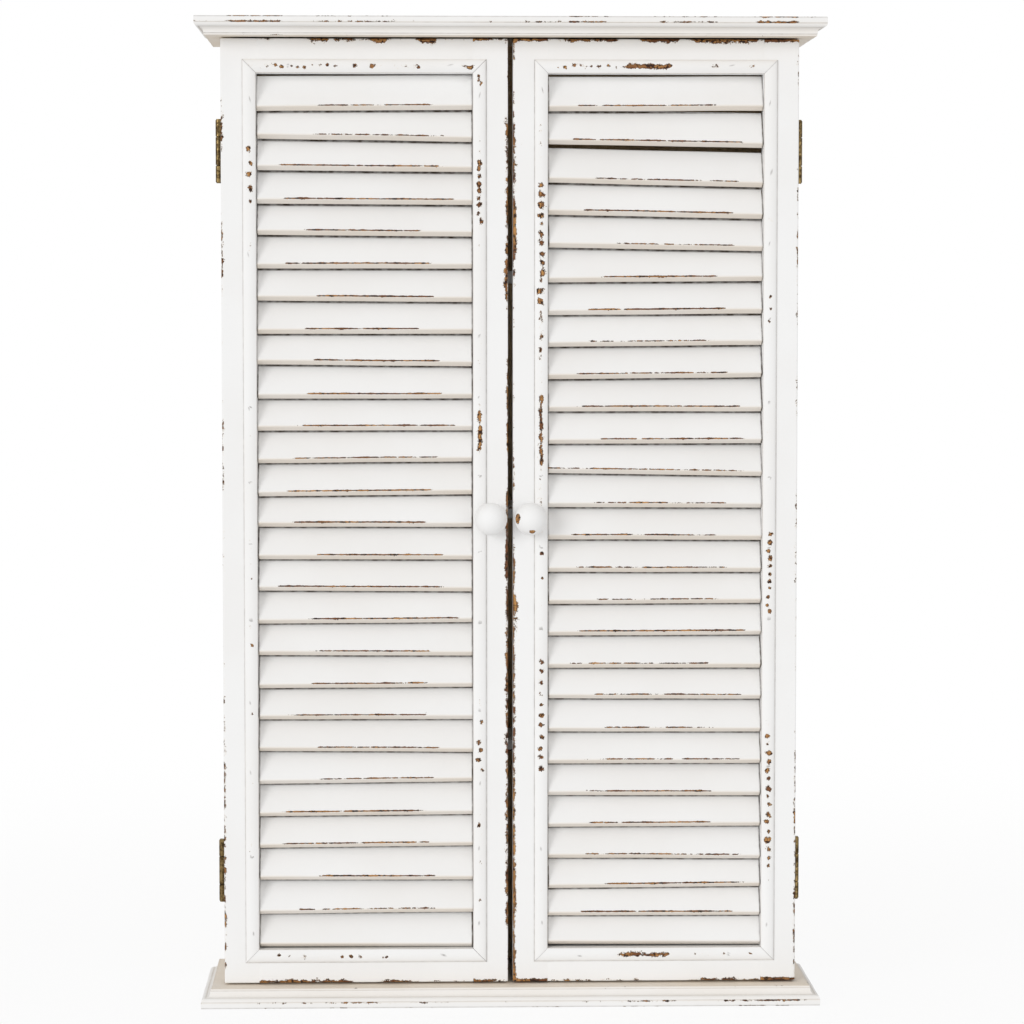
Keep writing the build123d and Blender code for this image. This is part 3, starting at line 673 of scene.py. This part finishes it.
def door_frame(name, side):
    """The stiles and rails of one door. Returns its jambs from left to right."""
    body = f"{name}_door"
    soft = FRAME_RADIUS
    jambs = []
    for stile, outer_low in (("hinge_stile", side < 0), ("meeting_stile", side > 0)):
        node = f"{name}_{stile}"
        low, high = node_box(node)
        jambs.append(high[X] if outer_low else low[X])
        radii = (soft, SHARP, SHARP, soft) if outer_low else (SHARP, soft, soft, SHARP)
        arrises = (1, 0, 0, 0.9) if outer_low else (0, 1, 0.9, 0)
        meeting = stile == "meeting_stile"
        level = 0.62 if meeting else 0.38
        patches = ((40, 330, 0.76), (560, 700, 0.7)) if meeting else ((8, 190, 0.56), (560, 610, 0.56))
        shell = Shell()
        board(shell, low, high, Z, radii, arrises, level, patches, end_wear=(0.8, 0.8),
              key=side + low[X] * 0.1)
        finish_piece(shell, f"{node}_board", body, CHALK, [node], Z, round(abs(low[X])) + 3)
    left, right = sorted(jambs)
    for rail, radii, arrises in (
        ("top", (SHARP, SHARP, soft, soft), (0, 0, 0.8, 1)),
        ("bottom", (soft, soft, SHARP, SHARP), (1, 0.8, 0, 0)),
    ):
        node = f"{name}_{rail}_rail"
        low, high = node_box(node)
        low[X], high[X] = left, right
        shell = Shell()
        board(shell, low, high, X, radii, arrises, 0.4, RAIL_PATCHES[name, rail], end_radius=SHARP,
              end_wear=(0, 0), key=side * 2.0 + (rail == "top"), step=3.0)
        finish_piece(shell, f"{node}_board", body, CHALK, [node], X, 51 + side)
    return left, right


def bead_section(groove_shade):
    """The bead's section from the opening outwards, as (distance, height, (wear, thin, grime_and_shade)). Its
    foot at the opening and its outer edge along the frame are darkened with painted shade.
    """
    section = [(0.0, 0.0, (0, 0.3, 0.9)), (0.0, BEAD_LIP - 0.35, (0.1, 0.25, 0.4))]
    section += [(0.35, BEAD_LIP + 0.35, (0.2, 0.1, 0))]
    half = BEAD_WIDTH / 2
    rise = BEAD_CREST - BEAD_LIP
    radius = (half * half + rise * rise) / (2 * rise)
    for i in range(1, 12):
        distance = BEAD_WIDTH * i / 12
        height = BEAD_CREST - radius + sqrt(radius * radius - (distance - half) ** 2)
        crest = max(0.0, 1 - abs(distance - half) / 4)
        section.append((distance, height, (crest, 0.02, 0)))
    section += [(BEAD_WIDTH - 0.7, BEAD_LIP + 0.1, (0.1, 0.1, 0))]
    section += [(BEAD_WIDTH - 0.3, BEAD_LIP, (0, 0.1, groove_shade))]
    section += [(BEAD_WIDTH, BEAD_LIP - 0.3, (0, 0.1, groove_shade)), (BEAD_WIDTH, 0.0, (0, 0.1, groove_shade))]
    return section


def door_beads(name, side, left, right):
    """The four mitred strips round the opening of one door."""
    door_face = node_box(f"{name}_hinge_stile")[0][Y]
    low = node_box(f"{name}_bottom_rail")[1][Z]
    high = node_box(f"{name}_top_rail")[0][Z]
    outer, inner = (left, right) if side < 0 else (right, left)
    strips = {
        "top": ((left, high), (right, high), (0, 1)),
        "bottom": ((left, low), (right, low), (0, -1)),
        "hinge_side": ((outer, low), (outer, high), (side, 0)),
        "meeting_side": ((inner, low), (inner, high), (-side, 0)),
    }
    half = BEAD_WIDTH / 2
    for number, (strip, (start, end, outward)) in enumerate(strips.items()):
        rng = random.Random(f"{name} {strip}")
        length = abs(end[0] - start[0]) + abs(end[1] - start[1])
        along = [(e - s) / length for s, e in zip(start, end)]
        chips = []
        for first, last, spacing, size in BEAD_CHIPS[name, strip]:
            for at in spaced(first, last, spacing):
                place = at + rng.uniform(-1, 1)
                across = half + rng.uniform(-1.2, 1.2)
                chips.append((place, across, size * rng.uniform(0.7, 1.3)))
        nails = [at + rng.uniform(-8, 8) for at in spaced(20, length - 20, NAIL_SPACING)]
        stations = set(spaced(0, length, 2.5))
        stations.update((CRACK, length - CRACK))
        crack_shades = MITRE_CRACK_SHADES.get((name, strip), (0.15, 0.15))
        fine_spots = [(place, size) for place, _, size in chips] + [(nail, NAIL_SIZE) for nail in nails]
        for at, size in fine_spots:
            stations.update(s for s in (at - size, at, at + size) if 0 < s < length)
        patches = BEAD_PATCHES.get((name, strip), ())
        rings = []
        for station in sorted(stations):
            share = station / length
            ring = []
            for distance, height, (edge, thin, grime_and_shade) in bead_section(GROOVE_SHADE[strip]):
                reach = distance - MITRE_GAP
                run = -reach + (length + 2 * reach) * share
                wear = edge * worn(run, 0.2, patches, number + side * 3.0)
                for at, across, size in chips:
                    away = sqrt((run - at) ** 2 + (distance - across) ** 2) / size
                    wear = max(wear, CHIP_WEAR * (1 - away * CHIP_FADE))
                nearest = min(abs(run - nail) for nail in nails)
                if nearest < NAIL_SIZE / 2 and abs(distance - half) < 1:
                    grime_and_shade = NAIL_GRIME
                if station < CRACK:
                    grime_and_shade = max(grime_and_shade, crack_shades[0])
                if station > length - CRACK:
                    grime_and_shade = max(grime_and_shade, crack_shades[1])
                sway = 0.12 * noise.noise(Vector((station / 40, distance / 6, number + side)))
                x = start[0] + along[0] * run + outward[0] * distance
                z = start[1] + along[1] * run + outward[1] * distance
                lift = max(0.0, height + (sway if height > BEAD_LIP else 0) - 0.2 * min(1, wear) ** 2)
                ring.append((Vector((x, door_face - min(lift, BEAD_CREST), z)), (max(0, wear), thin, grime_and_shade)))
            rings.append(ring)
        shell = Shell()
        shell.loft(rings)
        node = f"{name}_bead_{strip}"
        grain = X if outward[0] == 0 else Z
        finish_piece(shell, f"{node}_strip", f"{name}_door", CHALK, [node], grain, 61 + number + 5 * side, 50)


def slat_section():
    """A slat's section as (along, across, part), from its lower edge up the front and down the back.

    part is "edge", "arris", "front" or "back".
    """
    r, back = SLAT_ROUNDING, SLAT_BACK_ROUNDING
    section = [(0.0, SLAT_THICK / 2, "edge"), (0.0, r + 0.5, "edge")]
    section += [(a, b, "edge") for a, b in arc((r, r), r, 180, 225, 2)]
    section += [(a, b, "arris") for a, b in arc((r, r), r, 240, 270, 2)]
    section += [(r + d, 0.0, "front") for d in (0.35, 1.0, 3.0, 8.0, 14.0)]
    section += [(a, 0.0, "front") for a in spaced(19.0, SLAT_WIDTH - r, 0.7)]
    section += [(a, b, "back") for a, b in arc((SLAT_WIDTH - r, r), r, 285, 360, 3)]
    section += [(a, b, "back") for a, b in arc((SLAT_WIDTH - back, SLAT_THICK - back), back, 0, 90, 4)]
    section += [(a, SLAT_THICK, "back") for a in (18.0, 10.0, 4.0)]
    section += [(a, b, "edge") for a, b in arc((r, SLAT_THICK - r), r, 90, 180, 3)]
    return section


def slat_settings(name, opening_bottom):
    """The height of each slat's lower front arris at its middle, its slope and its tilt, in radians."""
    tilt = radians(SLAT_TILT)
    settings = []
    for n in range(SLAT_COUNT):
        rng = random.Random(f"{name} slat {n}")
        odd = (rng.uniform(-0.5, 0.5), rng.uniform(-0.55, 0.55), rng.uniform(-1.3, 1.3))
        lift, slope, turn = ODD_SLATS.get((name, n), odd)
        share = min(1, n / EASING_IN, (SLAT_COUNT - 1 - n) / EASING_OUT)
        tip = opening_bottom + SLAT_BOTTOM_GAP + SLAT_THICK * sin(tilt)
        tip += SLAT_PITCH * n + share * SLAT_SHIFT[name] + lift
        settings.append((tip, radians(slope), radians(SLAT_TILT + turn)))
    return settings


GAP_SHADE_START = 1.7  # how far below the next slat's edge the painted shade of the gap begins
GAP_SHADE_FULL = 0.9  # how far below it the painted shade is at its darkest
# How dark the painted shade under the next slat gets
GAP_SHADE = 0.8
RUBBED_WIDTH = 1.1  # how far up the front the rubbed line reaches
BOW = 0.25  # how far a slat bends from a straight line
BARE_ENDED = ("right", 15)  # the slat that is rubbed as far as its left end


def slat(name, number, left, right, door_face, settings, opening_top):
    """One slat, with its lower front arris rubbed bare along the middle.

    Close under the next slat the front is darkened with painted shade for the gap between them.
    The lower edge's back arris also gets painted shade, both ends get painted shade where they meet the
    stiles, and the back is slightly darkened.
    """
    rng = random.Random(f"{name} rub {number}")
    rub_start, rub_end = rng.uniform(0.06, 0.26), rng.uniform(0.78, 0.96)
    if (name, number) == BARE_ENDED:
        rub_start = -0.1
    rub = rng.uniform(0.82, 1.35) if number else 0.0
    end_gaps = rng.uniform(0.1, 0.45), rng.uniform(0.1, 0.45)
    # How dark the painted shade is at each end, where the slat meets the stile
    end_shades = rng.uniform(0.2, 0.9), rng.uniform(0.2, 0.9)
    tip, slope, tilt = settings[number]
    middle = (left + right) / 2
    start, end = left + end_gaps[0], right - end_gaps[1]
    stations = [start, start + 0.5, start + 1.2]
    stations += spaced(start + 4, end - 4, 4.5)
    stations += [end - 1.2, end - 0.5, end]
    rings = []
    for x in stations:
        share = (x - left) / (right - left)
        rubbed = min(1, max(0, (share - rub_start) / 0.05), max(0, (rub_end - share) / 0.05))
        rubbed = max(0, rubbed * rub * (0.85 + 0.5 * noise.noise(Vector((x / 16, number, 7.0)))))
        bow = BOW * noise.noise(Vector((x / 70, number, 3.0)))
        height = tip + (x - middle) * sin(slope) + bow
        if number + 1 < SLAT_COUNT:
            next_tip, next_slope, next_tilt = settings[number + 1]
            cover = next_tip + (x - middle) * sin(next_slope) - SLAT_THICK * sin(next_tilt)
        else:
            cover = opening_top
        reach = (cover - height) / cos(tilt)
        end_shade_here = max(end_shades[0] * (x - start < 0.6), end_shades[1] * (end - x < 0.6))
        ring = []
        for along, across, part in slat_section():
            wear, thin, grime_and_shade = 0.0, 0.03, end_shade_here
            if part == "arris":
                wear, thin = rubbed, 0.2
            elif part == "edge":
                wear, thin = (0.3 * rubbed if across < SLAT_ROUNDING else 0.0), 0.45
                # Painted shade along the lower edge's back arris, seen in the gap under the slat
                grime_and_shade = max(grime_and_shade, 0.3 * (across > SLAT_THICK - SLAT_ROUNDING))
            elif part == "front":
                wear = rubbed * max(0.0, 1 - (along - SLAT_ROUNDING) / RUBBED_WIDTH)
                # Painted shade on the front, close under the next slat
                shade_into_gap = GAP_SHADE * (along - reach + GAP_SHADE_START) / (GAP_SHADE_START - GAP_SHADE_FULL)
                grime_and_shade = max(grime_and_shade, min(GAP_SHADE, max(0.0, shade_into_gap)))
            else:
                # The back is slightly darkened
                grime_and_shade = max(grime_and_shade, 0.04)
            back = 0.25 * wear * wear if part == "arris" else 0.0
            y = door_face + (along + back) * sin(tilt) + (across + back) * cos(tilt)
            z = height + (along + back) * cos(tilt) - (across + back) * sin(tilt)
            ring.append((Vector((x, y, z)), (wear, thin, grime_and_shade)))
        rings.append(ring)
    shell = Shell()
    shell.loft(rings)
    piece_name = f"{name}_slat_{number + 1:02d}"
    seed = 100 + number * 3 + (50 if name == "right" else 0)
    finish_piece(shell, piece_name, f"{name}_door", CHALK, [f"{name}_slats"], X, seed)


KNOB_FOOT = 5.5
# Chips on the knobs, as directions from the ball's middle, with their size
KNOB_CHIPS = {
    "left": [((0.9, -0.2, -0.3), 0.1)],
    "right": [((-0.86, -0.5, 0.06), 0.42), ((0.06, -0.66, -0.75), 0.26)],
}


def knob(name, side):
    """The turned knob: a ball on a short foot."""
    low, high = node_box(f"{name}_knob")
    radius = (high[X] - low[X]) / 2
    foot = KNOB_FOOT
    face = high[Y]
    centre = Vector(((low[X] + high[X]) / 2, low[Y] + radius, (low[Z] + high[Z]) / 2))

    def wear_at(spot):
        way = (spot - centre).normalized()
        nearness = [1 - (way - Vector(c).normalized()).length / size for c, size in KNOB_CHIPS[name]]
        return max(0.0, min(1.1, 2 * max(nearness)))

    profile = [(along, out) for out, along in arc((0.0, 0.0), radius, -89, 65, 30)]
    ball = [(along, out) for along, out in profile if not (along > 0 and out < foot + 0.8)]
    back = face - centre[Y]
    neck = [(ball[-1][0] + 0.5, foot + 0.3), (back - 0.4, foot), (back, foot + 0.3), (back, 0.3)]
    shell = Shell()
    turned(shell, centre, Y, ball + neck, 48, wear_at)
    finish_piece(shell, f"{name}_turned_knob", f"{name}_door", CHALK, [f"{name}_knob"], Y, 161 + side, 60)


OUTER_KNUCKLE, KNUCKLE_GAP, KNUCKLE_RADIUS, KNUCKLE_CHAMFER = 13.5, 0.2, 2.5, 0.45
KNUCKLE_FLAT = 1.6  # the radius of the plain disc in the middle of a knuckle's end
LEAF_THICK, LEAF_WIDTH = 0.95, 11.2


def hinge_leaf_piece(node, body):
    """A hinge leaf: a stamped plate with softened edges and its chamfered knuckles."""
    low, high = node_box(node)
    side = 1 if low[X] > 0 else -1
    length = high[Z] - low[Z]
    is_case = node.endswith("case_leaf")
    gap, radius, thick = KNUCKLE_GAP, KNUCKLE_RADIUS, LEAF_THICK
    axis_x = (high[X] if side > 0 else low[X]) - side * radius
    axis_y = (low[Y] + high[Y]) / 2
    bottom = low[Z]
    shell = Shell()
    if is_case:
        spans = [(0, OUTER_KNUCKLE), (length - OUTER_KNUCKLE, length)]
        plate_y = (axis_y + 1 - thick, axis_y + 1)
    else:
        spans = [(OUTER_KNUCKLE + gap, length - OUTER_KNUCKLE - gap)]
        plate_y = (axis_y - 1, axis_y - 1 + thick)
    inner = axis_x - side * (radius + 0.3)
    plate_x = sorted((inner, inner - side * LEAF_WIDTH))
    board(shell, Vector((plate_x[0], plate_y[0], bottom)), Vector((plate_x[1], plate_y[1], bottom + length)),
          Z, (0.2,) * 4, (0,) * 4, 0.0, end_radius=0.2, step=12)
    for start, end in spans:
        tongue_x = sorted((inner - side * 0.5, axis_x - side * 1.5))
        board(shell, Vector((tongue_x[0], plate_y[0], bottom + start)),
              Vector((tongue_x[1], plate_y[1], bottom + end)), Z, (0.05,) * 4, (0,) * 4, 0.0,
              end_radius=0.05, step=12)
        rim = radius - KNUCKLE_CHAMFER
        profile = [(start, KNUCKLE_FLAT), (start, rim), (start + KNUCKLE_CHAMFER, radius)]
        profile += [(end - KNUCKLE_CHAMFER, radius), (end, rim), (end, KNUCKLE_FLAT)]
        turned(shell, (axis_x, axis_y, bottom), Z, profile, 32)
    finish_piece(shell, f"{node}_stamped", body, BRASS, [node], Z, 81, 40)


def doors():
    """Both doors: frame, beads, slats, knob and hinge leaves."""
    for name, side in SIDES.items():
        left, right = door_frame(name, side)
        door_beads(name, side, left, right)
        door_face = node_box(f"{name}_hinge_stile")[0][Y]
        opening_bottom = node_box(f"{name}_bottom_rail")[1][Z]
        opening_top = node_box(f"{name}_top_rail")[0][Z]
        settings = slat_settings(name, opening_bottom)
        for number in range(SLAT_COUNT):
            slat(name, number, left, right, door_face, settings, opening_top)
        knob(name, side)
        for level in ("upper", "lower"):
            hinge_leaf_piece(f"{name}_{level}_hinge_door_leaf", f"{name}_door")
            hinge_leaf_piece(f"{name}_{level}_hinge_case_leaf", "case")


# ---------------------------------------------------------------- CAD nodes that stay

CAD_LOOKS = {
    "hanging_rail": RAW_RAIL,
    "dowels": DOWEL_WOOD,
    "hinge_pins": BRASS,
    "hinge_case_screws": BRASS,
    "left_hinge_door_screws": BRASS,
    "right_hinge_door_screws": BRASS,
    "left_catch_housing": PLASTIC,
    "right_catch_housing": PLASTIC,
    "catch_magnets": MAGNET,
}


def dress_cad_nodes():
    """Gives each CAD node that still shows its procedural material."""
    for name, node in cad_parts.items():
        if node.hide_render:
            continue
        look = CAD_LOOKS.get(name, ZINC)
        node.data.materials.clear()
        node.data.materials.append(look)
        node.data.shade_smooth()
        node.data.set_sharp_from_angle(angle=radians(30))


# ---------------------------------------------------------------- stage, light and camera


SURROUND_LIGHT = 0.68
KEY = 0.95
FILL = 0.3
FLOOR_REACH = 1.6


def stage_floor():
    """A pale floor under the cabinet, which fades into the white surround."""
    low = cad_box[0]
    mesh = bpy.data.meshes.new("floor")
    bm = bmesh.new()
    bmesh.ops.create_circle(bm, cap_ends=True, segments=96, radius=FLOOR_REACH)
    bm.to_mesh(mesh)
    bm.free()
    floor = bpy.data.objects.new("floor", mesh)
    floor.location = (0, 0, low[2] - 0.0005)
    bpy.context.scene.collection.objects.link(floor)
    floor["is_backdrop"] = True
    g = Graph("floor", "")
    place = g.position()
    speckle = g.noise(place, 3.0, 3.0)
    g.set(
        Base_Color=g.mix(g.steps(speckle, 0.3, 0.7), (0.93, 0.925, 0.92), (0.95, 0.945, 0.94)),
        Roughness=0.9,
        Specular_IOR_Level=0.1,
    )
    distance = g.tree.nodes.new("ShaderNodeVectorMath")
    distance.operation = "LENGTH"
    g.plug(distance.inputs[0], place)
    clear = g.tree.nodes.new("ShaderNodeBsdfTransparent")
    blend = g.tree.nodes.new("ShaderNodeMixShader")
    g.plug(blend.inputs[0], g.steps(distance.outputs["Value"], 0.1, FLOOR_REACH, 0.88, 1.0))
    g.tree.links.new(g.shader.outputs[0], blend.inputs[1])
    g.tree.links.new(clear.outputs[0], blend.inputs[2])
    g.tree.links.new(blend.outputs[0], g.output.inputs[0])
    mesh.materials.append(g.material)


def sun(name, azimuth, elevation, strength, spread):
    """A soft distant light from a direction in degrees: azimuth to the right of the front."""
    light = bpy.data.lights.new(name, "SUN")
    light.energy = strength
    light.angle = radians(spread)
    lamp = bpy.data.objects.new(name, light)
    level = cos(radians(elevation))
    place = Vector((sin(radians(azimuth)) * level, -cos(radians(azimuth)) * level, sin(radians(elevation))))
    lamp.rotation_euler = (-place).to_track_quat("-Z", "Y").to_euler()
    lamp.location = place * 4
    bpy.context.scene.collection.objects.link(lamp)


def studio():
    """A white surround, with a soft key light from the left and a weaker fill from the right."""
    world = bpy.data.worlds.new("studio")
    bpy.context.scene.world = world
    world.use_nodes = True
    tree = world.node_tree
    background = tree.nodes["Background"]
    background.inputs["Color"].default_value = (1.0, 1.0, 1.0, 1.0)
    rays = tree.nodes.new("ShaderNodeLightPath")
    strength = tree.nodes.new("ShaderNodeMapRange")
    strength.inputs["To Min"].default_value = SURROUND_LIGHT
    strength.inputs["To Max"].default_value = 1.0
    tree.links.new(rays.outputs["Is Camera Ray"], strength.inputs["Value"])
    tree.links.new(strength.outputs[0], background.inputs["Strength"])
    sun("key", -38, 14, KEY, 28)
    sun("fill", 30, 4, FILL, 40)


CAMERA_PLACE = (-0.084, -2.907, -0.1713)
CAMERA_TURN = 0.0305  # radians to the right of straight ahead
CAMERA_DIP = 0.0607  # radians below level
CAMERA_FOCAL = 3.41015625  # focal length over the sensor's width
SENSOR = 36.0


def camera():
    """The camera, level with the upper part of the cabinet and a little to its left."""
    data = bpy.data.cameras.new("camera")
    data.sensor_width = SENSOR
    data.lens = CAMERA_FOCAL * SENSOR
    view = bpy.data.objects.new("camera", data)
    view.location = CAMERA_PLACE
    view.rotation_euler = (pi / 2 - CAMERA_DIP, 0.0, -CAMERA_TURN)
    bpy.context.scene.collection.objects.link(view)
    bpy.context.scene.camera = view
    bpy.context.scene.view_settings.view_transform = "Standard"


# Wear along the mouldings, in mm from the left rear corner round the front to the right rear one
CORNICE_PATCHES = ((162, 215, 0.85), (230, 300, 0.62), (430, 470, 0.75), (500, 560, 0.66), (580, 622, 0.95))
BASE_PATCHES = ((230, 260, 0.7), (300, 330, 0.62), (470, 500, 0.66), (560, 620, 0.72))
moulded_board("cornice", True, 0.3, CORNICE_PATCHES, 0.3, 1.3)
moulded_board("base_board", False, 0.38, BASE_PATCHES, 0.16, 2.7)
case_boards()
doors()
dress_cad_nodes()
stage_floor()
studio()
camera()

boxes = {"cad": cad_box, "visual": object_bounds()}
{label: [list(corner) for corner in box] for label, box in boxes.items()}
